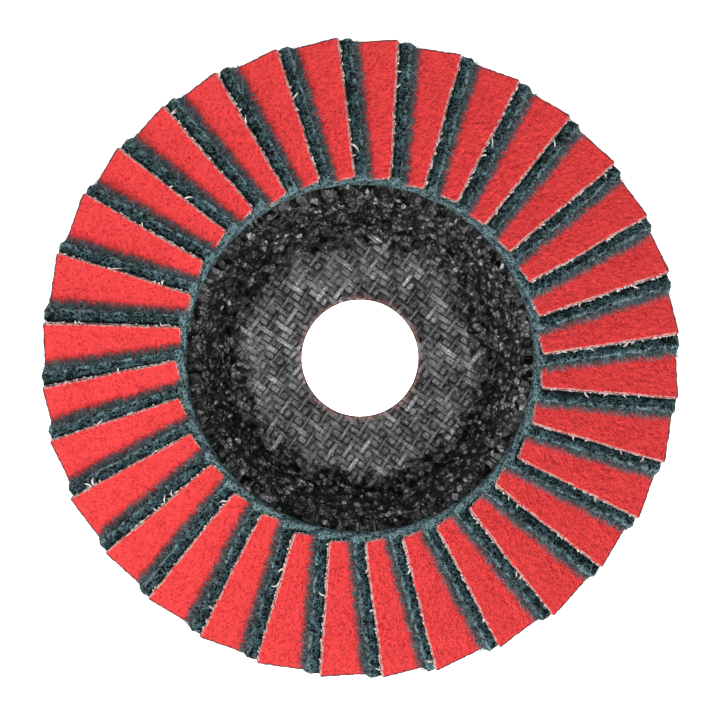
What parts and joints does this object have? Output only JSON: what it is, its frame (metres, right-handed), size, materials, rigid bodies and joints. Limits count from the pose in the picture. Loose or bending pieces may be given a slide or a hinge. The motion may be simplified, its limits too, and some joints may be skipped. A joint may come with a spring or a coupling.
{
  "type": "flap disc",
  "caption": "Interleaved flap disc: leaning abrasive and fleece flaps overlap in a ring on a dished backing plate of woven glass with a central bore.",
  "frame": {"origin": "centre of the bore at the hub's back face, which is the lowest point of the disc", "axes": "+Z along the bore axis, out of the working face with its flaps; +X and +Y in the plane of the hub's back"},
  "size_m": [0.1248, 0.1248, 0.0173],
  "materials": {
    "woven_glass": "satin",
    "ring_steel": "satin",
    "adhesive": "matte",
    "abrasive_cloth": "matte",
    "fleece": "matte"
  },
  "bodies": {
    "root": {"abrasive_flap_01": "abrasive_cloth", "abrasive_flap_02": "abrasive_cloth", "abrasive_flap_03": "abrasive_cloth", "abrasive_flap_04": "abrasive_cloth", "abrasive_flap_05": "abrasive_cloth", "abrasive_flap_06": "abrasive_cloth", "abrasive_flap_07": "abrasive_cloth", "abrasive_flap_08": "abrasive_cloth", "abrasive_flap_09": "abrasive_cloth", "abrasive_flap_10": "abrasive_cloth", "abrasive_flap_11": "abrasive_cloth", "abrasive_flap_12": "abrasive_cloth", "abrasive_flap_13": "abrasive_cloth", "abrasive_flap_14": "abrasive_cloth", "abrasive_flap_15": "abrasive_cloth", "abrasive_flap_16": "abrasive_cloth", "abrasive_flap_17": "abrasive_cloth", "abrasive_flap_18": "abrasive_cloth", "abrasive_flap_19": "abrasive_cloth", "abrasive_flap_20": "abrasive_cloth", "abrasive_flap_21": "abrasive_cloth", "abrasive_flap_22": "abrasive_cloth", "abrasive_flap_23": "abrasive_cloth", "abrasive_flap_24": "abrasive_cloth", "abrasive_flap_25": "abrasive_cloth", "abrasive_flap_26": "abrasive_cloth", "abrasive_flap_27": "abrasive_cloth", "abrasive_flap_28": "abrasive_cloth", "abrasive_flap_29": "abrasive_cloth", "abrasive_flap_30": "abrasive_cloth", "abrasive_flap_31": "abrasive_cloth", "abrasive_flap_32": "abrasive_cloth", "adhesive_bed": "adhesive", "backing_plate": "woven_glass", "bore_ring": "ring_steel", "fleece_flaps_01": "fleece", "fleece_flaps_02": "fleece", "fleece_flaps_03": "fleece", "fleece_flaps_04": "fleece", "fleece_flaps_05": "fleece", "fleece_flaps_06": "fleece", "fleece_flaps_07": "fleece", "fleece_flaps_08": "fleece", "fleece_flaps_09": "fleece", "fleece_flaps_10": "fleece", "fleece_flaps_11": "fleece", "fleece_flaps_12": "fleece", "fleece_flaps_13": "fleece", "fleece_flaps_14": "fleece", "fleece_flaps_15": "fleece", "fleece_flaps_16": "fleece"}
  },
  "joints": []
}
